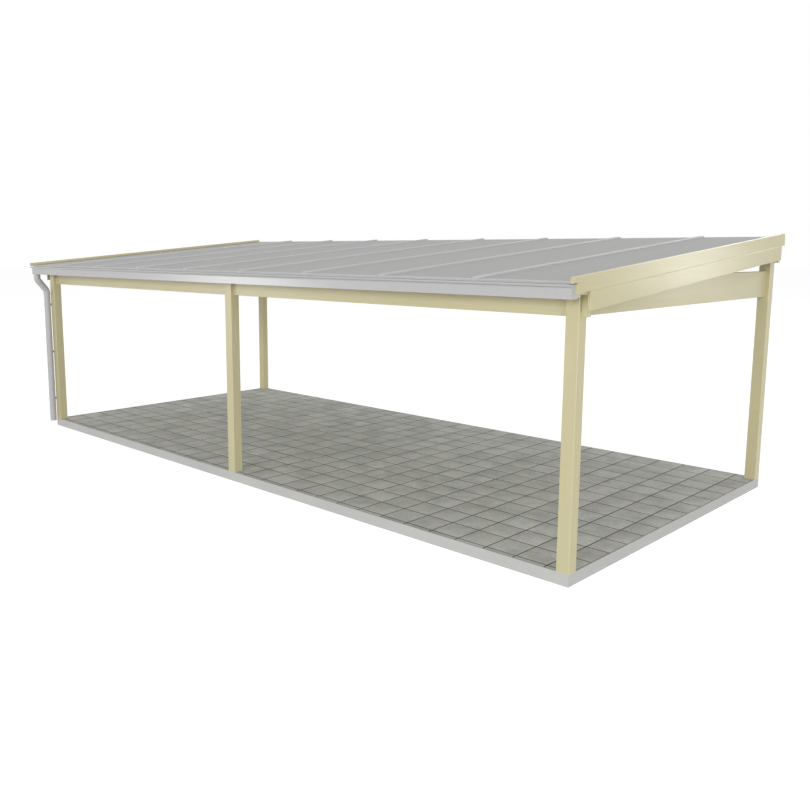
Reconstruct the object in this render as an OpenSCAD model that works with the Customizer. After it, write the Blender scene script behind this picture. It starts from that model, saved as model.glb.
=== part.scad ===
// Free-standing lean-to patio cover: five posts on a raised tiled base carry
// an eaves beam, two side beams and a high back beam. Sloping rafters hold
// roof sheets between glazing bars, with a gutter and one downpipe in front.
// The frame is planed timber with chamfered edges.
// Millimetres, +Z up. The origin is the centre of the base on the ground,
// +X runs to the right along the front and +Y runs to the high back.

/* [Base] */
// Length of the base along the front
base_w = 8700; // [7200:50:10500]
// Depth of the base from front to back
base_d = 4000; // [3300:50:4800]
// Height of the tiled surface above the ground
base_h = 104; // [80:2:180]
// Thickness of the tile layer on the slab
tile_t = 30; // [20:1:50]
// Thickness of the pale strips round the base
strip_t = 10; // [6:1:20]

/* [Posts] */
// Width of a post along the front
post_w = 115; // [90:1:150]
// Depth of a post from front to back
post_d = 110; // [100:1:150]
// Clear height from the tiles to the eaves beam
headroom = 2013; // [1650:1:2500]
// Cheek of the post that covers the outer face of a beam
cheek_t = 38; // [25:1:45]
// Chamfer along the edges of every timber
arris = 3; // [1:0.5:6]

/* [Beams] */
// Thickness of every beam
beam_t = 60; // [50:1:72]
// Height of the eaves beam
eaves_beam_h = 173; // [140:1:200]
// Height of a side beam
side_beam_h = 272; // [220:1:300]
// Height of the back beam
back_beam_h = 250; // [180:1:280]
// Distance of a side beam behind the outer side of the posts
side_inset = 43; // [20:1:50]
// Length of an eaves beam end that passes the outer post
beam_end = 40; // [10:1:60]

/* [Roof] */
// Slope of the roof in degrees
pitch = 4.93; // [3:0.01:8]
// Width of a rafter
rafter_w = 60; // [50:1:80]
// Height of a rafter
rafter_h = 120; // [100:1:160]
// Depth of the seat that a rafter has over the eaves beam
seat_cut = 10; // [5:1:20]
// Distance from the centre of an outer rafter to the verge board
edge_bay = 861.5; // [700:0.5:1050]
// Thickness of a roof sheet
sheet_t = 16; // [10:1:25]
// Overhang of the sheets in front of the base
sheet_front = 215; // [200:1:240]
// Distance of the back sheet edge before the back of the base
sheet_back = 10; // [6:1:36]
// Wall of the trims over the ends of the sheets
closer_t = 2; // [1:0.5:3]
// Depth of the legs of those trims
closer_leg = 22; // [15:1:24]
// Width of a glazing bar's cap
bar_w = 60; // [40:1:70]
// Height of a glazing bar's cap above the sheets
bar_h = 18; // [10:1:30]
// Width of the joint between two sheets
joint_w = 12; // [8:1:20]
// Clearance between a glazing bar's stem and each sheet beside it
stem_gap = 1; // [0.5:0.5:3]

/* [Verges] */
// Distance of the verge boards' outer faces beyond the base
verge_out = 89; // [80:1:110]
// Thickness of a verge board
verge_t = 25; // [18:1:28]
// Depth of the upper board
verge_h = 128; // [110:1:150]
// Rise of the upper board above the sheets
verge_up = 36; // [20:1:50]
// Depth of the lower board
skirt_h = 146; // [110:1:150]
// Distance of the lower board's back end before the back of the base
skirt_back = 82; // [60:1:100]
// Distance of the upper board's front end in front of the base
verge_front = 183; // [170:1:200]
// Height of the tongue that runs on beside the gutter
tongue_h = 45; // [30:1:60]
// Distance of the tongue's end behind the lip of the gutter
tongue_back = 19; // [5:1:40]
// Number of cleats behind each lower board
cleats = 4; // [3:1:6]
// Width of a cleat, along and across the board
cleat_w = 40; // [30:1:60]
// Height of a cleat
cleat_h = 70; // [50:1:90]
// Distance from the back of the front post to the first cleat
cleat_first = 150; // [100:10:300]
// Distance from the last cleat to the front of the back post
cleat_last = 300; // [200:10:400]

/* [Gutter] */
// Distance from the front of the base to the back of the gutter
gutter_back = 139; // [130:1:160]
// Clearance between the gutter and the trims above it
gutter_gap = 3; // [0.5:0.5:6]
// Depth of the gutter floor beyond the diameter of its outlet
floor_spare = 2; // [2:1:20]
// Distance of the outlet from the end of the gutter
end_spare = 2; // [2:1:60]
// Height of the flat lower face of the gutter
gutter_face = 71; // [60:1:75]
// Radius of each of the two curves of the moulded face
ogee_r = 18; // [12:1:18]
// Wall of the gutter
gutter_t = 3; // [2:1:4]
// Width of a strap across the gutter
strap_w = 25; // [20:1:40]
// Clearance between a strap and the moulded face
strap_gap = 0.2; // [0.1:0.1:1]
// Thickness of the fascia board behind the gutter
fascia_t = 28; // [20:1:32]
// Height of the foot of the fascia above the gutter's underside
fascia_rise = 10; // [5:1:30]

/* [Downpipe] */
// Outer diameter of the downpipe
pipe_d = 90; // [70:1:110]
// Wall of the downpipe
pipe_t = 3; // [2:1:4]
// Distance between the pipe and the front of the post
pipe_gap = 5; // [3:1:20]
// Radius of the bends at the pipe's centre
bend_r = 90; // [80:1:110]
// Angle of the bends
bend_a = 40; // [30:1:50]
// Height of the open lower end above the ground
pipe_end = 78; // [60:1:200]
// Length of the outlet below the gutter
outlet_h = 45; // [35:1:60]
// Length of the collar at the top of each piece of pipe
collar_h = 25; // [15:1:35]
// Wall of a collar over the pipe
collar_t = 3; // [2:1:5]
// Number of clips on the downpipe
clips = 3; // [2:1:4]
// Height of the lowest clip above the ground
clip_first = 400; // [200:10:600]
// Distance of the highest clip below the top of the downpipe
clip_last = 190; // [100:10:400]
// Height of a clip
clip_h = 30; // [20:1:50]
// Wall of a clip's ring
ring_t = 3; // [2:1:5]
// Length of a clip's foot along the post
foot_l = 50; // [30:1:80]
// Clearance between the pipe and a clip's foot
foot_gap = 1; // [0.5:0.5:2]

/* [Hidden] */

$fn = 64;
// How far each cut runs past the solid that it cuts
past = 1;
cream = [0.80, 0.775, 0.63];
roof_grey = [0.67, 0.67, 0.67];
pale_grey = [0.77, 0.77, 0.76];
tile_grey = [0.59, 0.60, 0.57];

half_w = base_w / 2;
half_d = base_d / 2;
front_y = -half_d;
back_y = half_d;
beam_z = base_h + headroom;
eaves_top = beam_z + eaves_beam_h;

// The roof plane is the underside of the sheets, which is the top of the rafters.
roof_z = eaves_top - seat_cut + rafter_h / cos(pitch) - (cheek_t + beam_t) * tan(pitch);
function sheet_under(y) = roof_z + (y - front_y) * tan(pitch);
function slope_len(y) = (y - front_y) / cos(pitch);

back_beam_y = back_y - cheek_t - beam_t;
back_beam_top = sheet_under(back_beam_y);
inner_w = half_w + verge_out - verge_t;
rafter_count = 8;
rafter_pitch = 2 * (inner_w - edge_bay) / (rafter_count - 1);
function rafter_x(i) = (i - (rafter_count + 1) / 2) * rafter_pitch;

fascia_y = front_y - gutter_back;
sheet_y0 = front_y - sheet_front;
sheet_y1 = back_y - sheet_back;

gutter_d = pipe_d + floor_spare;
gutter_top = gutter_face + 2 * ogee_r;
gutter_lip = gutter_d + 2 * ogee_r;
gutter_z = sheet_under(sheet_y0) - closer_t - gutter_gap - gutter_top;

pipe_x = -inner_w + end_spare + pipe_d / 2;
pipe_y = front_y - pipe_gap - pipe_d / 2;
outlet_y = fascia_y - gutter_d / 2;
pipe_bore = pipe_d - 2 * pipe_t;

// Points on an arc about c, from angle a0 to a1
function arc(c, r, a0, a1, n = 10) =
    [for (i = [0:n]) let (a = a0 + (a1 - a0) * i / n) c + r * [cos(a), sin(a)]];

// Box between two opposite corners
module block(a, b) {
    translate(a) cube(b - a);
}

// Rectangle with chamfered corners, from the origin
module planed_section(w, h) {
    polygon([
        [arris, 0], [w - arris, 0], [w, arris], [w, h - arris],
        [w - arris, h], [arris, h], [0, h - arris], [0, arris]
    ]);
}

// Planed timber between two opposite corners. Its grain runs along axis 0, 1 or 2,
// for X, Y or Z, and the four edges along the grain are chamfered.
module timber(a, b, along) {
    s = b - a;
    if (along == 0)
        translate(a) rotate([90, 0, 90]) linear_extrude(s.x) planed_section(s.y, s.z);
    if (along == 1)
        translate([a.x, b.y, a.z]) rotate([90, 0, 0])
            linear_extrude(s.y) planed_section(s.x, s.z);
    if (along == 2)
        translate(a) linear_extrude(s.z) planed_section(s.x, s.y);
}

// Children drawn in the roof plane: Y up the slope from above the front of the base
module on_roof() {
    translate([0, front_y, roof_z]) rotate([pitch, 0, 0]) children();
}

// Cut along X to a plumb stretch between two distances along Y
module plumb(y0, y1) {
    intersection() {
        children();
        block([-base_w, y0, 0], [base_w, y1, 2 * beam_z]);
    }
}

// ---- base ----

module base_slab() {
    color(pale_grey)
        block([-half_w + strip_t, front_y + strip_t, 0],
              [half_w - strip_t, back_y - strip_t, base_h - tile_t]);
}

module tile_layer() {
    color(tile_grey)
        block([-half_w + strip_t, front_y + strip_t, base_h - tile_t],
              [half_w - strip_t, back_y - strip_t, base_h]);
}

module long_strip(y0) {
    color(pale_grey) block([-half_w, y0, 0], [half_w, y0 + strip_t, base_h]);
}

module short_strip(x0) {
    color(pale_grey)
        block([x0, front_y + strip_t, 0], [x0 + strip_t, back_y - strip_t, base_h]);
}

// ---- posts ----

// A post with its left front corner at x, y and a slot for a beam in its head.
// slot_y is where the slot begins, and the slot runs through along X.
module post(x, y, top, slot_y, slot_z) {
    color(cream)
        difference() {
            timber([x, y, base_h], [x + post_w, y + post_d, top], 2);
            block([x - past, slot_y, slot_z], [x + post_w + past, slot_y + beam_t, top + past]);
        }
}

module front_post(x) {
    post(x, front_y, eaves_top, front_y + cheek_t, beam_z);
}

module back_post(x) {
    post(x, back_y - post_d, sheet_under(back_y - post_d),
         back_beam_y, back_beam_top - back_beam_h);
}

// ---- beams ----

module eaves_beam(x0, x1) {
    color(cream)
        timber([x0, front_y + cheek_t, beam_z],
               [x1, front_y + cheek_t + beam_t, eaves_top], 0);
}

module side_beam(x0) {
    color(cream)
        timber([x0, front_y + post_d, beam_z],
               [x0 + beam_t, back_y - post_d, beam_z + side_beam_h], 1);
}

// The top of the back beam is planed to the slope of the roof.
module back_beam() {
    rise = beam_t * tan(pitch);
    color(cream)
        translate([-inner_w, back_beam_y, back_beam_top - back_beam_h])
            rotate([90, 0, 90])
                linear_extrude(2 * inner_w)
                    polygon([
                        [arris, 0], [beam_t - arris, 0], [beam_t, arris],
                        [beam_t, back_beam_h + rise], [0, back_beam_h], [0, arris]
                    ]);
}

// ---- rafters ----

// A rafter seated over the eaves beam, its tail level with the top of that beam
module rafter(x) {
    color(cream)
        difference() {
            plumb(fascia_y + fascia_t, back_beam_y)
                on_roof()
                    timber([x - rafter_w / 2, -2 * sheet_front, -rafter_h],
                           [x + rafter_w / 2, slope_len(back_y), 0], 1);
            block([x - rafter_w, fascia_y, beam_z],
                  [x + rafter_w, front_y + cheek_t + beam_t, eaves_top]);
        }
}

// ---- roof covering ----

// Edges of sheet i along X, from the left verge to the right one
function sheet_x0(i) = i == 0 ? -inner_w : rafter_x(i) + joint_w / 2;
function sheet_x1(i) = i == rafter_count ? inner_w : rafter_x(i + 1) - joint_w / 2;

module roof_sheets() {
    color(roof_grey)
        on_roof()
            for (i = [0:rafter_count])
                block([sheet_x0(i), slope_len(sheet_y0), 0],
                      [sheet_x1(i), slope_len(sheet_y1), sheet_t]);
}

// T profile: a stem between two sheets and a cap with round shoulders over them
module bar_profile() {
    stem = joint_w / 2 - stem_gap;
    edge = bar_w / 2;
    top = sheet_t + bar_h;
    r = bar_h / 3;
    polygon(concat(
        [[-stem, 0], [stem, 0], [stem, sheet_t], [edge, sheet_t]],
        arc([edge - r, top - r], r, 0, 90, 4),
        arc([r - edge, top - r], r, 90, 180, 4),
        [[-edge, sheet_t], [-stem, sheet_t]]
    ));
}

// Plate that closes the end of a bar and covers the joint of the trims beside it
module bar_end() {
    linear_extrude(closer_t) {
        bar_profile();
        translate([-bar_w / 2, -closer_t]) square([bar_w, sheet_t + closer_t]);
    }
}

module glazing_bar(x) {
    y0 = slope_len(sheet_y0) - closer_t;
    y1 = slope_len(sheet_y1) + closer_t;
    translate([x, y1 + closer_t, 0])
        rotate([90, 0, 0]) {
            linear_extrude(y1 - y0 + 2 * closer_t) bar_profile();
            bar_end();
            translate([0, 0, y1 - y0 + closer_t]) bar_end();
        }
}

module glazing_bars() {
    color(pale_grey)
        on_roof()
            for (i = [1:rafter_count]) glazing_bar(rafter_x(i));
}

// Edges of the top leg of trim i, which ends at the caps of the glazing bars
function trim_x0(i) = i == 0 ? -inner_w : rafter_x(i) + bar_w / 2;
function trim_x1(i) = i == rafter_count ? inner_w : rafter_x(i + 1) - bar_w / 2;

// U-shaped trim over the end of each sheet, drawn for the lower ends
module end_trims() {
    for (i = [0:rafter_count]) {
        block([sheet_x0(i), -closer_t, -closer_t], [sheet_x1(i), 0, sheet_t]);
        block([sheet_x0(i), -closer_t, -closer_t], [sheet_x1(i), closer_leg, 0]);
        block([trim_x0(i), -closer_t, sheet_t],
              [trim_x1(i), closer_leg, sheet_t + closer_t]);
    }
}

module eaves_closer() {
    color(pale_grey) on_roof() translate([0, slope_len(sheet_y0), 0]) end_trims();
}

module back_closer() {
    color(pale_grey)
        on_roof() translate([0, slope_len(sheet_y1), 0]) mirror([0, 1, 0]) end_trims();
}

// ---- verges ----

// Upper board with a plumb front end and a tongue that runs on beside the gutter
module verge_board(x0) {
    high = sheet_t + verge_up;
    tongue_y = fascia_y - gutter_lip + tongue_back;
    color(cream)
        difference() {
            plumb(tongue_y, back_y)
                on_roof()
                    timber([x0, -2 * sheet_front, high - verge_h],
                           [x0 + verge_t, slope_len(sheet_y1), high], 1);
            plumb(tongue_y - past, front_y - verge_front)
                on_roof()
                    block([x0 - past, -2 * sheet_front, high - verge_h - past],
                          [x0 + verge_t + past, 0, high - tongue_h]);
        }
}

// Lower board, from the front of the posts to near their backs
module verge_skirt(x0) {
    high = sheet_t + verge_up - verge_h;
    color(cream)
        plumb(front_y, back_y - skirt_back)
            on_roof()
                timber([x0, -sheet_front, high - skirt_h],
                       [x0 + verge_t, slope_len(back_y), high], 1);
}

// Cleats that carry a lower board, hung under the edge rafter
module cleat(side, y) {
    x0 = side > 0 ? inner_w - cleat_w : -inner_w;
    color(cream)
        on_roof()
            block([x0, y, -rafter_h - cleat_h], [x0 + cleat_w, y + cleat_w, -rafter_h]);
}

module skirt_cleats() {
    first = post_d + cleat_first;
    last = base_d - post_d - cleat_last;
    for (side = [-1, 1], i = [0:cleats - 1])
        cleat(side, first + i * (last - first) / (cleats - 1));
}

// ---- gutter ----

// Outline of the moulded front, from the floor to the lip: a cove and a round.
// inset is the distance of the outline inside the outer face.
function front_outline(inset) = concat(
    [[gutter_d - inset, inset]],
    arc([gutter_d + ogee_r, gutter_face], ogee_r + inset, 180, 90),
    arc([gutter_d + ogee_r, gutter_face + 2 * ogee_r], ogee_r - inset, -90, 0)
);

// Points of a list from its end to its start
function reversed(p) = [for (i = [len(p) - 1:-1:0]) p[i]];

// Section drawn with X forward from the fascia and Y up from the gutter's underside
module gutter_section() {
    polygon(concat(
        [[0, gutter_top], [0, 0]],
        front_outline(0),
        reversed(front_outline(gutter_t)),
        [[gutter_t, gutter_t], [gutter_t, gutter_top]]
    ));
    translate([gutter_lip - gutter_t, gutter_top]) circle(r = gutter_t);
}

module end_section() {
    polygon(concat([[0, gutter_top], [0, 0]], front_outline(0)));
}

// Children drawn in section and run along X between x0 and x1
module along_gutter(x0, x1) {
    translate([x0, fascia_y, gutter_z])
        rotate([90, 0, 0]) rotate([0, -90, 0]) mirror([0, 0, 1])
            linear_extrude(x1 - x0) children();
}

module gutter() {
    color(pale_grey)
        difference() {
            along_gutter(-inner_w + gutter_t, inner_w - gutter_t) gutter_section();
            translate([pipe_x, outlet_y, gutter_z - past])
                cylinder(d = pipe_bore, h = gutter_t + 2 * past);
        }
}

module gutter_end_caps() {
    color(pale_grey) {
        along_gutter(-inner_w, -inner_w + gutter_t) end_section();
        along_gutter(inner_w - gutter_t, inner_w) end_section();
    }
}

// Strap across the trough in front of each rafter, just short of the moulded face
module gutter_brackets() {
    drop = 2 * gutter_t;
    reach = gutter_d + ogee_r + sqrt(pow(ogee_r - gutter_t, 2) - pow(drop, 2)) - strap_gap;
    color(pale_grey)
        for (i = [1:rafter_count])
            translate([rafter_x(i) - strap_w / 2, fascia_y - reach, gutter_z + gutter_top - drop])
                cube([strap_w, reach - gutter_t, gutter_t]);
}

module eaves_fascia() {
    color(cream)
        timber([-inner_w, fascia_y, gutter_z + fascia_rise],
               [inner_w, fascia_y + fascia_t, sheet_under(fascia_y)], 0);
}

// ---- downpipe ----

// The pipe steps back from the outlet to the post: elbow, offset pipe, elbow.
offset_y = pipe_y - outlet_y;
offset_len = (offset_y - 2 * bend_r * (1 - cos(bend_a))) / sin(bend_a);
bend_h = bend_r * sin(bend_a);
neck_top = gutter_z - outlet_h;
neck_foot = neck_top - 2 * bend_h - offset_len * cos(bend_a);

module pipe(d_out, d_in, h) {
    difference() {
        cylinder(d = d_out, h = h);
        translate([0, 0, -past]) cylinder(d = d_in, h = h + 2 * past);
    }
}

// Bend that leaves the origin downwards and turns towards +Y
module bend() {
    translate([0, bend_r, 0])
        rotate([0, 90, 0]) rotate([0, 0, -90])
            rotate_extrude(angle = bend_a)
                translate([bend_r, 0])
                    difference() {
                        circle(d = pipe_d);
                        circle(d = pipe_bore);
                    }
}

module gutter_outlet() {
    color(pale_grey)
        translate([pipe_x, outlet_y, neck_top]) {
            pipe(pipe_d, pipe_bore, outlet_h);
            pipe(pipe_d + 2 * collar_t, pipe_bore, collar_h);
        }
}

module elbow_upper() {
    color(pale_grey) translate([pipe_x, outlet_y, neck_top]) bend();
}

module offset_pipe() {
    color(pale_grey)
        translate([pipe_x, outlet_y + bend_r * (1 - cos(bend_a)), neck_top - bend_h])
            rotate([bend_a, 0, 0]) translate([0, 0, -offset_len]) {
                pipe(pipe_d, pipe_bore, offset_len);
                translate([0, 0, offset_len - collar_h])
                    pipe(pipe_d + 2 * collar_t, pipe_bore, collar_h);
            }
}

module elbow_lower() {
    color(pale_grey)
        translate([pipe_x, pipe_y, neck_foot]) mirror([0, 0, 1]) mirror([0, 1, 0]) bend();
}

module downpipe() {
    color(pale_grey)
        translate([pipe_x, pipe_y, pipe_end]) {
            pipe(pipe_d, pipe_bore, neck_foot - pipe_end);
            translate([0, 0, neck_foot - pipe_end - collar_h])
                pipe(pipe_d + 2 * collar_t, pipe_bore, collar_h);
        }
}

// Ring round the pipe, with a foot that lies on the front of the post
module pipe_clip(z) {
    post_x = -half_w - pipe_x;
    translate([pipe_x, pipe_y, z])
        difference() {
            union() {
                cylinder(d = pipe_d + 2 * ring_t, h = clip_h);
                block([0, pipe_d / 2 + foot_gap, 0], [post_x + foot_l, pipe_d / 2 + pipe_gap, clip_h]);
            }
            translate([0, 0, -past]) cylinder(d = pipe_d, h = clip_h + 2 * past);
        }
}

// Clips at even distances, tied to both ends of the pipe
module pipe_clips() {
    last = neck_foot - clip_last;
    color(pale_grey)
        for (i = [0:clips - 1])
            pipe_clip(clip_first + i * (last - clip_first) / (clips - 1));
}

base_slab();
tile_layer();
long_strip(front_y);  // edge_strip_front
long_strip(back_y - strip_t);  // edge_strip_back
short_strip(-half_w);  // edge_strip_left
short_strip(half_w - strip_t);  // edge_strip_right
front_post(-half_w);  // post_front_left
front_post(-post_w / 2);  // post_front_middle
front_post(half_w - post_w);  // post_front_right
back_post(-half_w);  // post_back_left
back_post(half_w - post_w);  // post_back_right
eaves_beam(-half_w - beam_end, 0);  // eaves_beam_left
eaves_beam(0, half_w + beam_end);  // eaves_beam_right
side_beam(-half_w + side_inset);  // side_beam_left
side_beam(half_w - side_inset - beam_t);  // side_beam_right
back_beam();
rafter(rafter_x(1));  // rafter_1
rafter(rafter_x(2));  // rafter_2
rafter(rafter_x(3));  // rafter_3
rafter(rafter_x(4));  // rafter_4
rafter(rafter_x(5));  // rafter_5
rafter(rafter_x(6));  // rafter_6
rafter(rafter_x(7));  // rafter_7
rafter(rafter_x(8));  // rafter_8
rafter(-inner_w + rafter_w / 2);  // edge_rafter_left
rafter(inner_w - rafter_w / 2);  // edge_rafter_right
roof_sheets();
glazing_bars();
eaves_closer();
back_closer();
verge_board(-inner_w - verge_t);  // verge_board_left
verge_board(inner_w);  // verge_board_right
verge_skirt(-inner_w - verge_t);  // verge_skirt_left
verge_skirt(inner_w);  // verge_skirt_right
skirt_cleats();
eaves_fascia();
gutter();
gutter_end_caps();
gutter_brackets();
gutter_outlet();
elbow_upper();
offset_pipe();
elbow_lower();
downpipe();
pipe_clips();
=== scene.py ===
# Finish and fine pieces of a timber patio cover on a paved base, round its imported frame.
# Metres, in the frame's own axes: +X right along the front, +Y to the high back, +Z up.

import math
import random

import bmesh
import bpy
from mathutils import Matrix, Vector


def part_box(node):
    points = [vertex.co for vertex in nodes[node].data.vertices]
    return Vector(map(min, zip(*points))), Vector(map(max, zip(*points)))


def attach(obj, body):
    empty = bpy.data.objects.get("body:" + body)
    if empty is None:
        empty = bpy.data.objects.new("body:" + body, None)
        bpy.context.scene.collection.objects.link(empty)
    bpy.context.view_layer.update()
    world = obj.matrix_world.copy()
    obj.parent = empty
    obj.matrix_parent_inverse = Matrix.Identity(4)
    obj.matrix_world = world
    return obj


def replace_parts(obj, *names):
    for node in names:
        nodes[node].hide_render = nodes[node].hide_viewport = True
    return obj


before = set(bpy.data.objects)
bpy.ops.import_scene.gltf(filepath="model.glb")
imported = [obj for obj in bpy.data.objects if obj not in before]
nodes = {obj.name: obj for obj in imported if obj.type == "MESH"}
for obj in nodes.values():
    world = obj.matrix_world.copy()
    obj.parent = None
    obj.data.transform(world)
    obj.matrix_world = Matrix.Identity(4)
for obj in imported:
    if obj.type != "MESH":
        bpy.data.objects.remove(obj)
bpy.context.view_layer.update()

MM = 0.001
WHITE = (1, 1, 1, 1)
HALF = 0.5  # half the side of a grid, which makes the grid 1 m wide


# ---- camera ----

def place_camera():
    """Looks from outside the right front corner, a little above the eaves. Metres and radians."""
    eye_right, eye_front, eye_height = 3.225, 5.596, 2.618
    tilt_down, turn_left = 0.1507, 0.7884
    data = bpy.data.cameras.new("camera")
    data.sensor_width = 36
    data.lens = 37.23
    data.shift_x = 0.0661
    data.shift_y = -0.0350
    data.clip_end = 400
    camera = bpy.data.objects.new("camera", data)
    bpy.context.scene.collection.objects.link(camera)
    kerb_low, kerb_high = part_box("edge_strip_front")
    camera.location = (kerb_high.x + eye_right, kerb_low.y - eye_front, eye_height)
    camera.rotation_euler = (math.pi / 2 - tilt_down, 0, turn_left)
    bpy.context.scene.camera = camera


place_camera()


# ---- colours and shader nodes ----

def linear(hex_colour):
    """An sRGB hex colour as the linear RGBA that a shader takes."""
    parts = [int(hex_colour[i:i + 2], 16) / 255 for i in (1, 3, 5)]
    return [c / 12.92 if c <= 0.04045 else ((c + 0.055) / 1.055) ** 2.4 for c in parts] + [1]


def add(tree, kind, inputs=(), **settings):
    """Adds one shader node with its settings and its input values or links. An input goes by
    its name, or by its number where the node has several of one name."""
    made = tree.nodes.new(kind)
    for name, value in settings.items():
        setattr(made, name, value)
    for name, value in dict(inputs).items():
        if isinstance(value, bpy.types.NodeSocket):
            tree.links.new(value, made.inputs[name])
        else:
            made.inputs[name].default_value = value
    return made


def start_material(name, roughness, ior=None, metallic=0.0):
    """A material with its shader, its tree and the object's own coordinates."""
    material = bpy.data.materials.new(name)
    material.use_nodes = True
    tree = material.node_tree
    tree.nodes.clear()
    shader = add(tree, "ShaderNodeBsdfPrincipled", {"Roughness": roughness, "Metallic": metallic})
    if ior:
        shader.inputs["IOR"].default_value = ior
    surface = add(tree, "ShaderNodeOutputMaterial")
    tree.links.new(shader.outputs[0], surface.inputs[0])
    where = add(tree, "ShaderNodeTexCoord").outputs["Object"]
    return material, tree, shader, where


def blotches(tree, where, size, detail=4, stretch=(1, 1, 1), roughness=0.55):
    """Noise between 0 and 1, mostly 0.3 to 0.7, with features of about that size in metres and
    stretched along an axis. At a scale of 1 the node's features are about half a metre wide."""
    unit_feature = 0.5
    pulled = add(tree, "ShaderNodeMapping", {"Vector": where, "Scale": [1 / s for s in stretch]})
    return add(tree, "ShaderNodeTexNoise", {
        "Vector": pulled.outputs[0], "Scale": unit_feature / size, "Detail": detail,
        "Roughness": roughness,
    }).outputs[0]


def along(axis, times):
    """Stretch of a pattern by that many times along one axis."""
    return [times if i == axis else 1 for i in range(3)]


def layer(tree, pattern, low, high, under, over, cover=1.0):
    """Lays one colour over another: none of it where the pattern is at low, and that share of
    it at high. Each colour is a hex value or a link."""
    share = add(tree, "ShaderNodeMapRange", {0: pattern, 1: low, 2: high, 3: 0.0, 4: cover})
    sides = [linear(c) if isinstance(c, str) else c for c in (under, over)]
    return add(tree, "ShaderNodeMix", {0: share.outputs[0], 6: sides[0], 7: sides[1]},
               data_type="RGBA").outputs[2]


def tint_edges(tree, radius, under, over, cover=1.0):
    """Lays a second colour along the edges, which are where a normal rounded over that radius
    leaves the true one. It starts at one cosine between the two and is full at another. On the
    timber and the aluminium the paler edge colour is partly painted highlight."""
    start, full = 0.995, 0.80
    soft = add(tree, "ShaderNodeBevel", {"Radius": radius}, samples=6).outputs[0]
    true = add(tree, "ShaderNodeNewGeometry").outputs["Normal"]
    match = add(tree, "ShaderNodeVectorMath", {0: soft, 1: true}, operation="DOT_PRODUCT")
    return layer(tree, match.outputs["Value"], start, full, under, over, cover)


def link(tree, shader, colour, height, relief, rough=None):
    """Joins the colour and a height field of that relief in metres to the shader. Where the
    roughness varies, rough holds its pattern, two values of the pattern, and the roughness at
    each of them."""
    bump = add(tree, "ShaderNodeBump", {"Height": height, "Distance": relief, "Strength": 1.0})
    tree.links.new(bump.outputs[0], shader.inputs["Normal"])
    tree.links.new(colour, shader.inputs["Base Color"])
    if rough:
        pattern, low, high, start, end = rough
        value = add(tree, "ShaderNodeMapRange", {0: pattern, 1: low, 2: high, 3: start, 4: end})
        tree.links.new(value.outputs[0], shader.inputs["Roughness"])


# ---- finishes ----

def coated_timber(name, grain):
    """Laminated softwood, planed, with an opaque cream coating: satin, with the faint grain
    of the wood telegraphed through it, slow shifts of tone, and edges a little paler, partly
    wear and partly painted highlight. Growth rings of 3 mm are drawn 9 mm wide, which is the
    finest that shows."""
    material, tree, shader, where = start_material(name, 0.3, ior=1.49)
    rings = blotches(tree, where, 9 * MM, detail=3, stretch=along(grain, 40))
    clouds = blotches(tree, where, 450 * MM, detail=2, stretch=along(grain, 3))
    base = layer(tree, clouds, 0.3, 0.7, "#BFB78F", "#C6C09B")
    grained = layer(tree, rings, 0.35, 0.65, base, "#BAB189", 0.22)
    # Paler edges: partly wear, partly painted highlight along the arrises.
    edge_toned = tint_edges(tree, 5 * MM, grained, "#D8D3B5")
    link(tree, shader, edge_toned, rings, 0.02 * MM, (rings, 0.3, 0.7, 0.28, 0.32))
    return material


def multiwall_sheet():
    """Opaque grey multiwall sheet, extruded: smooth and dull under a thin film of dust, with the
    webs inside it showing as faint lines every 32 mm down the slope. The node's wave repeats
    every 2 pi / 20 at a scale of 1."""
    material, tree, shader, where = start_material("opaque_grey_multiwall", 0.58, ior=1.58)
    web_pitch, unit_wave = 32 * MM, 2 * math.pi / 20
    webs = add(tree, "ShaderNodeTexWave", {
        "Vector": where, "Scale": unit_wave / web_pitch, "Distortion": 0.0,
    }, wave_type="BANDS", bands_direction="X", wave_profile="SIN").outputs["Fac"]
    dust = blotches(tree, where, 350 * MM, detail=5, stretch=along(1, 4))
    base = layer(tree, dust, 0.3, 0.7, "#ABAAA9", "#B4B4B2")
    lined = layer(tree, webs, 0.8, 1.0, base, "#A2A1A0", 0.35)
    link(tree, shader, lined, webs, 0.08 * MM, (dust, 0.3, 0.7, 0.52, 0.66))
    return material


def coated_aluminium(name, length):
    """Extruded aluminium with a pale grey powder coat: even and satin, with die lines along its
    length, too fine to see one by one and drawn 6 mm wide, and edges a little brighter, partly
    wear and partly painted highlight."""
    material, tree, shader, where = start_material(name, 0.36, ior=1.5)
    lines = blotches(tree, where, 6 * MM, detail=2, stretch=along(length, 120))
    film = blotches(tree, where, 300 * MM, detail=4)
    base = layer(tree, film, 0.3, 0.7, "#B8B9BA", "#C1C2C2")
    lined = layer(tree, lines, 0.35, 0.65, base, "#B4B4B4", 0.4)
    # Brighter edges: partly wear, partly painted highlight along the bars' arrises.
    edge_paled = tint_edges(tree, 3 * MM, lined, "#D2D2D2")
    link(tree, shader, edge_paled, lines, 0.05 * MM, (film, 0.3, 0.7, 0.32, 0.42))
    return material


def rainwater_plastic():
    """Unplasticised PVC, extruded and moulded, pale grey: a soft sheen, a slight orange peel
    with features of 8 mm, and faint rain streaks that dry on the face."""
    material, tree, shader, where = start_material("pale_grey_pvc", 0.22, ior=1.53)
    peel = blotches(tree, where, 8 * MM, detail=2)
    streaks = blotches(tree, where, 25 * MM, detail=4, stretch=along(2, 14))
    base = layer(tree, streaks, 0.35, 0.75, "#B5B5B5", "#B0B0AF", 0.5)
    edge_paled = tint_edges(tree, 2 * MM, base, "#C5C4C1")
    link(tree, shader, edge_paled, peel, 0.01 * MM, (streaks, 0.3, 0.7, 0.215, 0.225))
    return material


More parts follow.
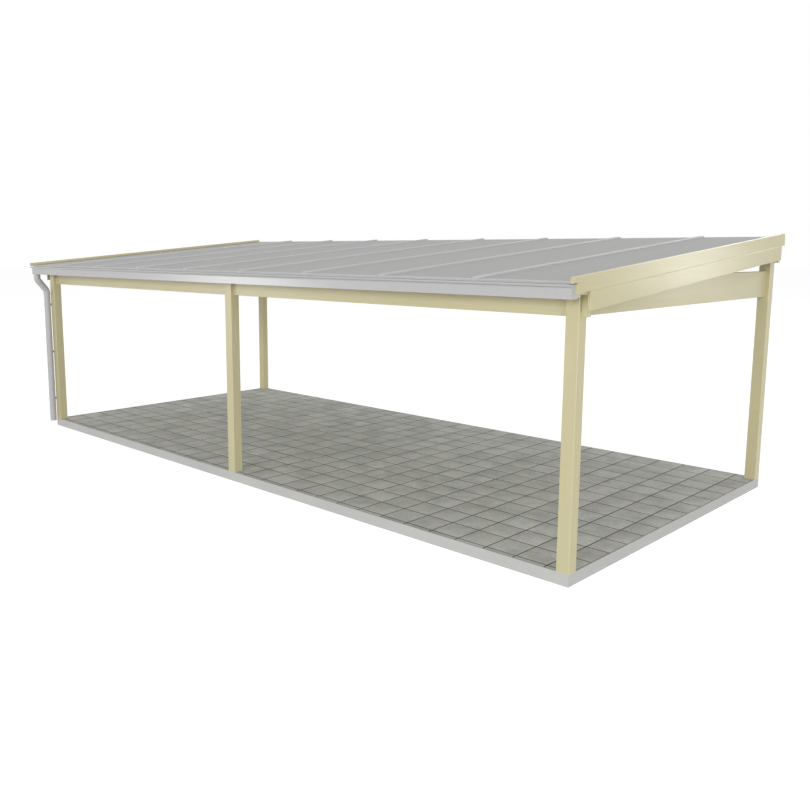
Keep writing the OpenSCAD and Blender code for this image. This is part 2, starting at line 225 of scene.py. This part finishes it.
def cast_edging():
    """Pale artificial stone, cast and smoothed by rubbing: sand and pores of 2 mm, drawn 5 mm
    wide, and cloudy tone where it dried."""
    material, tree, shader, where = start_material("pale_cast_stone", 0.72, ior=1.5)
    sand = blotches(tree, where, 5 * MM, detail=5, roughness=0.7)
    clouds = blotches(tree, where, 250 * MM, detail=4, stretch=(2, 2, 1))
    base = layer(tree, clouds, 0.3, 0.7, "#BABAB9", "#C5C5C2")
    sanded = layer(tree, sand, 0.4, 0.75, base, "#B0B0AE", 0.8)
    link(tree, shader, sanded, sand, 0.3 * MM, (sand, 0.3, 0.7, 0.66, 0.82))
    return material


def slab_concrete():
    """Site concrete under the paving: grey, rough and blotchy."""
    material, tree, shader, where = start_material("site_concrete", 0.88, ior=1.5)
    grit = blotches(tree, where, 12 * MM, detail=6, roughness=0.7)
    clouds = blotches(tree, where, 500 * MM, detail=4)
    base = layer(tree, clouds, 0.3, 0.7, "#9C9C97", "#AEAEA9")
    gritty = layer(tree, grit, 0.4, 0.8, base, "#82827D", 0.6)
    link(tree, shader, gritty, grit, 0.8 * MM)
    return material


def paver_concrete():
    """Pressed concrete pavers: a tone of its own for each paver, cloudy weathering, fine grit of
    2 to 4 mm drawn 12 mm wide, pores, arrises that rubbing has turned an even grey, and sides
    darker than the tops."""
    material, tree, shader, where = start_material("pressed_grey_pavers", 0.8, ior=1.5)
    tone = add(tree, "ShaderNodeAttribute", attribute_name="tone").outputs["Fac"]
    grit = blotches(tree, where, 12 * MM, detail=5, roughness=0.75)
    pores = blotches(tree, where, 16 * MM, detail=3, roughness=0.6)
    clouds = blotches(tree, where, 120 * MM, detail=5)
    base = layer(tree, tone, 0, 1, "#BCBDB5", "#CECEC8")
    cloudy = layer(tree, clouds, 0.42, 0.66, base, "#9FA098", 0.6)
    gritty = layer(tree, grit, 0.45, 0.75, cloudy, "#979891", 0.6)
    pitted = layer(tree, pores, 0.66, 0.74, gritty, "#707169", 0.6)
    edge_toned = tint_edges(tree, 4 * MM, pitted, "#B8B9B1", 0.2)
    # Faces that point less upward, the sides in the joints, get the darker colour.
    normal = add(tree, "ShaderNodeNewGeometry").outputs["Normal"]
    upward = add(tree, "ShaderNodeSeparateXYZ", {"Vector": normal}).outputs["Z"]
    sides_darkened = layer(tree, upward, 0.85, 0.3, edge_toned, "#53534C")
    link(tree, shader, sides_darkened, grit, 0.5 * MM, (grit, 0.3, 0.7, 0.72, 0.9))
    return material


def joint_sand():
    """Sand swept into the joints: dark and damp, with grains of 1 mm drawn 4 mm wide."""
    material, tree, shader, where = start_material("joint_sand", 0.95, ior=1.45)
    grains = blotches(tree, where, 4 * MM, detail=4, roughness=0.8)
    colour = layer(tree, grains, 0.3, 0.7, "#403F3A", "#545349")
    link(tree, shader, colour, grains, 0.8 * MM)
    return material


def zinc_plated_steel():
    """Steel bolts and washers, forged and stamped, with bright zinc: patches of 15 mm, each with
    its own grey and gloss, under a dull film. The index of refraction stays the default."""
    material, tree, shader, where = start_material("zinc_plated_steel", 0.42, metallic=1.0)
    spangle = add(tree, "ShaderNodeTexVoronoi", {"Vector": where, "Scale": 1 / (15 * MM)})
    patch = add(tree, "ShaderNodeSeparateColor", {"Color": spangle.outputs["Color"]}).outputs[0]
    film = blotches(tree, where, 50 * MM, detail=4)
    base = layer(tree, patch, 0, 1, "#A9ACAE", "#C2C4C5")
    dulled = layer(tree, film, 0.4, 0.8, base, "#8F9294", 0.4)
    link(tree, shader, dulled, film, 0.05 * MM, (patch, 0.0, 1.0, 0.34, 0.52))
    return material


def rubber_seal():
    """Black EPDM, extruded: matt, chalking slightly to grey along its length."""
    material, tree, shader, where = start_material("weathered_epdm", 0.7, ior=1.52)
    chalk = blotches(tree, where, 80 * MM, detail=4, stretch=along(1, 6))
    colour = layer(tree, chalk, 0.3, 0.7, "#3B3B3A", "#5A5A57")
    link(tree, shader, colour, chalk, 0.1 * MM, (chalk, 0.3, 0.7, 0.6, 0.85))
    return material


def named(*starts):
    """Names of the CAD nodes that start with one of those words."""
    return [name for name in nodes if name.startswith(starts)]


def dress(material, *names):
    """Gives CAD nodes a finish."""
    for name in names:
        mesh = nodes[name].data
        mesh.materials.clear()
        mesh.materials.append(material)


ALONG_X = named("eaves_beam", "back_beam", "eaves_fascia")
ALONG_Y = named("side_beam", "rafter", "edge_rafter", "verge", "skirt")
ALONG_Z = named("post")
RAINWATER = ["gutter", "gutter_end_caps", "gutter_brackets", "gutter_outlet", "elbow_upper",
             "offset_pipe", "elbow_lower", "downpipe", "pipe_clips"]
dress(coated_timber("cream_coated_timber_x", 0), *ALONG_X)
dress(coated_timber("cream_coated_timber_y", 1), *ALONG_Y)
dress(coated_timber("cream_coated_timber_z", 2), *ALONG_Z)
dress(multiwall_sheet(), "roof_sheets")
dress(coated_aluminium("pale_coated_aluminium_x", 0), "eaves_closer", "back_closer")
dress(coated_aluminium("pale_coated_aluminium_y", 1), "glazing_bars")
dress(rainwater_plastic(), *RAINWATER)
dress(cast_edging(), *named("edge_strip"))
dress(slab_concrete(), "base_slab")
PAVERS = paver_concrete()
dress(PAVERS, "tile_layer")
SAND = joint_sand()
ZINC = zinc_plated_steel()
SEAL = rubber_seal()


# ---- pieces made here ----

def finish_piece(name, bm, material, smooth_angle=None):
    """Turns a bmesh into a piece that rides with the frame."""
    for face in bm.faces:
        face.smooth = smooth_angle is not None
        face.material_index = 0
    mesh = bpy.data.meshes.new(name)
    bm.to_mesh(mesh)
    bm.free()
    mesh.materials.append(material)
    if smooth_angle is not None:
        mesh.set_sharp_from_angle(angle=math.radians(smooth_angle))
    piece = bpy.data.objects.new(name, mesh)
    bpy.context.scene.collection.objects.link(piece)
    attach(piece, "root")
    return piece


def lay_paving():
    """Square pavers with open joints, and the sand swept into the joints. One sheet is cut at
    each joint and inset: its faces become the pavers and its rims become the sand. The first
    cuts leave a strip along the left side and one along the front."""
    low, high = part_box("tile_layer")
    pitch_x, pitch_y, joint = 300.7 * MM, 303 * MM, 16 * MM
    left_strip, front_strip = 38 * MM, 55 * MM
    cuts = ((low.x + left_strip, high.x, pitch_x, (1, 0, 0)),
            (low.y + front_strip, high.y, pitch_y, (0, 1, 0)))
    bm = bmesh.new()
    bmesh.ops.create_grid(bm, x_segments=1, y_segments=1, size=HALF)
    bmesh.ops.scale(bm, vec=(high.x - low.x, high.y - low.y, 1), verts=bm.verts)
    bmesh.ops.translate(bm, vec=((low.x + high.x) / 2, (low.y + high.y) / 2, high.z), verts=bm.verts)
    for first, last, pitch, normal in cuts:
        for i in range(int((last - first) / pitch) + 1):
            bmesh.ops.bisect_plane(bm, geom=bm.verts[:] + bm.edges[:] + bm.faces[:],
                                   plane_co=Vector(normal) * (first + i * pitch), plane_no=normal)
    rims = bmesh.ops.inset_individual(bm, faces=bm.faces[:], thickness=joint / 2)["faces"]
    for rim in rims:
        rim.material_index = 1
    sand = bm.copy()
    bmesh.ops.delete(bm, geom=rims, context="FACES")
    bmesh.ops.delete(sand, geom=[f for f in sand.faces if f.material_index == 0], context="FACES")
    thicken(bm, low.z)
    finish_pavers(bm, low.z, high.z)
    fill_joints(sand, low.z)


def grow(bm, faces):
    """Extrudes the faces and gives back the new vertices, which lie where the old ones do."""
    grown = bmesh.ops.extrude_face_region(bm, geom=faces)["geom"]
    return [v for v in grown if isinstance(v, bmesh.types.BMVert)]


def faces_at(verts):
    """The faces that meet at those vertices."""
    return list({f for v in verts for f in v.link_faces})


def thicken(bm, foot):
    """Gives a sheet straight sides and a flat underside at the height of its foot."""
    for v in grow(bm, bm.faces[:]):
        v.co.z = foot
    bmesh.ops.recalc_face_normals(bm, faces=bm.faces[:])


def finish_pavers(bm, foot, top):
    """Breaks the arrises, gives each paver its tone and lets it lie a little out of level, by
    angles in radians, with no corner above the top or below the foot. The tones spread round
    the middle of the scale from 0 to 1."""
    arris, settled, lean, near = 2 * MM, 0.3 * MM, 0.0025, MM / 10
    middle, spread, seed = 0.5, 0.22, 7
    rim = [e for e in bm.edges if all(v.co.z > top - near for v in e.verts)]
    bmesh.ops.bevel(bm, geom=rim, offset=arris, offset_type="OFFSET", segments=2, profile=0.5,
                    affect="EDGES", material=-1)
    tone = bm.verts.layers.float.new("tone")
    rng = random.Random(seed)
    for island in islands(bm):
        shade = min(1, max(0, rng.gauss(middle, spread)))
        centre = sum((v.co for v in island), Vector()) / len(island)
        nod = Matrix.Rotation(rng.uniform(-lean, lean), 3, "X")
        roll = Matrix.Rotation(rng.uniform(-lean, lean), 3, "Y")
        for v in island:
            v[tone] = shade
            v.co = centre + nod @ roll @ (v.co - centre)
            v.co.z = min(max(v.co.z - settled, foot), top)
    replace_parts(finish_piece("pavers", bm, PAVERS, smooth_angle=35), "tile_layer")


def fill_joints(bm, foot):
    """Sand that lies 2.5 mm below the pavers' tops, with its surface gently uneven."""
    depth, uneven, long_side, seed = 2.5 * MM, 0.8 * MM, 40 * MM, 11
    long_edges = [e for e in bm.edges if e.calc_length() > long_side]
    bmesh.ops.subdivide_edges(bm, edges=long_edges, cuts=3)
    rng = random.Random(seed)
    for v in sorted(bm.verts, key=lambda v: (round(v.co.y, 4), round(v.co.x, 4))):
        v.co.z -= depth + rng.uniform(-uneven, uneven)
    thicken(bm, foot)
    finish_piece("joint_sand_fill", bm, SAND)


def islands(bm):
    """Lists of vertices that edges join, in order from the front left. A list grows while it
    is read, until it holds all that its edges reach."""
    left = set(bm.verts)
    found = []
    for start in bm.verts:
        if start in left:
            left.remove(start)
            island = [start]
            for v in island:
                for e in v.link_edges:
                    other = e.other_vert(v)
                    if other in left:
                        left.remove(other)
                        island.append(other)
            found.append(island)
    return sorted(found, key=lambda island: (round(min(v.co.y for v in island), 3),
                                             round(min(v.co.x for v in island), 3)))


def bolt_head(bm, centre, axis):
    """A hexagon head on a round washer, which stand out from centre along axis."""
    across_flats, head, washer_width, washer = 19 * MM, 8 * MM, 30 * MM, 2.5 * MM
    across_corners = across_flats / math.cos(math.pi / 6)
    turn = Vector((0, 0, 1)).rotation_difference(Vector(axis)).to_matrix().to_4x4()
    for sides, width, start, thick in ((24, washer_width, 0, washer),
                                       (6, across_corners, washer, head)):
        made = bmesh.ops.create_circle(bm, cap_ends=True, segments=sides, radius=width / 2)["verts"]
        top = grow(bm, faces_at(made))
        bmesh.ops.translate(bm, vec=(0, 0, thick), verts=top)
        rim = [e for e in bm.edges if all(v in top for v in e.verts)]
        cut = bmesh.ops.bevel(bm, geom=rim, offset=thick / 4, offset_type="OFFSET", segments=2,
                              profile=0.5, affect="EDGES", material=-1)["verts"]
        whole = [v for v in set(made + cut + top) if v.is_valid]
        place = Matrix.Translation(centre) @ turn @ Matrix.Translation((0, 0, start))
        bmesh.ops.transform(bm, matrix=place, verts=whole)


def fix_beams():
    """Two bolts through the slotted head of each post, whose heads show on the inner side. At
    the front corners they stand beside the side beam, which ends on the same face."""
    shares = 0.3, 0.7
    bm = bmesh.new()
    for name, beam, neighbour in (("post_front_left", "eaves_beam_left", "side_beam_left"),
                                  ("post_front_middle", "eaves_beam_left", None),
                                  ("post_front_right", "eaves_beam_right", "side_beam_right"),
                                  ("post_back_left", "back_beam", None),
                                  ("post_back_right", "back_beam", None)):
        low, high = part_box(name)
        first, last = low.x, high.x
        if neighbour:
            side_low, side_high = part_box(neighbour)
            first, last = (side_high.x, high.x) if low.x > 0 else (low.x, side_low.x)
        front = name.startswith("post_front")
        y, out = (high.y, (0, 1, 0)) if front else (low.y, (0, -1, 0))
        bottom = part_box(beam)[0].z
        for share in shares:
            z = bottom + share * (high.z - bottom)
            bolt_head(bm, Vector(((first + last) / 2, y, z)), out)
    bmesh.ops.recalc_face_normals(bm, faces=bm.faces[:])
    finish_piece("post_bolts", bm, ZINC, smooth_angle=35)


def seal_verges():
    """Rubber seal in the angle between the outer roof sheets and each verge board. It lies on
    the sheets: their box gives the exact slope, once the leaning back edge is allowed for."""
    sheet_thick, thick, wide, end_gap = 16 * MM, 3 * MM, 6 * MM, 5 * MM
    low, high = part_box("roof_sheets")
    run, climb = high.y - low.y, high.z - low.z
    lean = math.atan((climb - sheet_thick) / run)
    back_set = sheet_thick * math.sin(lean)
    rise = (climb - sheet_thick * math.cos(lean)) / (run - back_set)
    front, back = low.y + end_gap, high.y - end_gap
    foot = high.z - (high.y - back_set - front) * rise
    bm = bmesh.new()
    for side, edge in ((-1, low.x), (1, high.x)):
        made = bmesh.ops.create_grid(bm, x_segments=1, y_segments=1, size=HALF)["verts"]
        for v in made:
            inwards, up = (v.co.x + HALF) * wide, (v.co.y + HALF) * (back - front)
            v.co = Vector((edge - side * inwards, front + up, foot + up * rise))
        bmesh.ops.translate(bm, vec=(0, 0, thick), verts=grow(bm, faces_at(made)))
    bmesh.ops.recalc_face_normals(bm, faces=bm.faces[:])
    finish_piece("verge_seals", bm, SEAL)


lay_paving()
fix_beams()
seal_verges()


# ---- floor, light and view ----

def direct(tree):
    """1 for a ray from the camera, off a glossy surface or through glass, and 0 for others."""
    paths = add(tree, "ShaderNodeLightPath").outputs
    mirrored = add(tree, "ShaderNodeMath", {0: paths["Is Camera Ray"], 1: paths["Is Glossy Ray"]},
                   operation="MAXIMUM").outputs[0]
    return add(tree, "ShaderNodeMath", {0: mirrored, 1: paths["Is Transmission Ray"]},
               operation="MAXIMUM").outputs[0]


def lay_floor():
    """Plain pale floor. Seen directly, it glows up to white and keeps the object's soft shadow."""
    reach, shaded, glow = 120, (0.45, 0.45, 0.45, 1), 0.78
    bm = bmesh.new()
    bmesh.ops.create_circle(bm, cap_ends=True, segments=64, radius=reach)
    mesh = bpy.data.meshes.new("floor")
    bm.to_mesh(mesh)
    bm.free()
    material = bpy.data.materials.new("pale_floor")
    material.use_nodes = True
    tree = material.node_tree
    tree.nodes.clear()
    plain = add(tree, "ShaderNodeBsdfDiffuse", {"Color": linear("#E6E6E6")}).outputs[0]
    shown = add(tree, "ShaderNodeBsdfDiffuse", {"Color": shaded}).outputs[0]
    lit = add(tree, "ShaderNodeEmission", {"Color": WHITE, "Strength": glow}).outputs[0]
    white = add(tree, "ShaderNodeAddShader", {0: shown, 1: lit}).outputs[0]
    mixed = add(tree, "ShaderNodeMixShader", {0: direct(tree), 1: plain, 2: white}).outputs[0]
    add(tree, "ShaderNodeOutputMaterial", {"Surface": mixed})
    mesh.materials.append(material)
    floor = bpy.data.objects.new("floor", mesh)
    bpy.context.scene.collection.objects.link(floor)


def light_world():
    """Even light from all round, and plain white where the world is seen directly."""
    dim = 0.45
    world = bpy.data.worlds.new("studio")
    bpy.context.scene.world = world
    world.use_nodes = True
    tree = world.node_tree
    tree.nodes.clear()
    even = add(tree, "ShaderNodeBackground", {"Color": WHITE, "Strength": dim}).outputs[0]
    white = add(tree, "ShaderNodeBackground", {"Color": WHITE, "Strength": 1.0}).outputs[0]
    mixed = add(tree, "ShaderNodeMixShader", {0: direct(tree), 1: even, 2: white}).outputs[0]
    add(tree, "ShaderNodeOutputWorld", {"Surface": mixed})


def soft_box(name, place, target, width, height, power, spread=180):
    """Rectangular lamp that faces the target. A spread below 180 degrees narrows its beam.
    Metres, watts and degrees."""
    data = bpy.data.lights.new(name, "AREA")
    data.shape = "RECTANGLE"
    data.size = width
    data.size_y = height
    data.energy = power
    data.spread = math.radians(spread)
    lamp = bpy.data.objects.new(name, data)
    bpy.context.scene.collection.objects.link(lamp)
    lamp.location = place
    lamp.rotation_euler = (Vector(target) - Vector(place)).to_track_quat("-Z", "Y").to_euler()


lay_floor()
light_world()

# Four large soft boxes light the object. The glints are weak, and show in the gloss of the
# gutter and front beam, and in that of the right verge boards.
soft_box("key", (10, -32, 7.5), (0, 0, 1), 24, 8, 5400)
soft_box("right", (32, -8, 5), (1, -1, 1.2), 20, 8, 2800)
soft_box("back", (8, 28, 15), (0, 0, 1.2), 14, 8, 2400)
soft_box("left", (-34, -2, 8), (-1, 0, 1.2), 14, 8, 1800)
soft_box("left_glint", (-22.8, -20.3, 1.0), (0.3, -2.0, 2.2), 4, 3, 380)
soft_box("right_glint", (6.46, 4.07, 2.42), (4.44, -0.8, 2.5), 0.8, 0.8, 0.42, spread=36)

view = bpy.context.scene.view_settings
view.view_transform = "Standard"
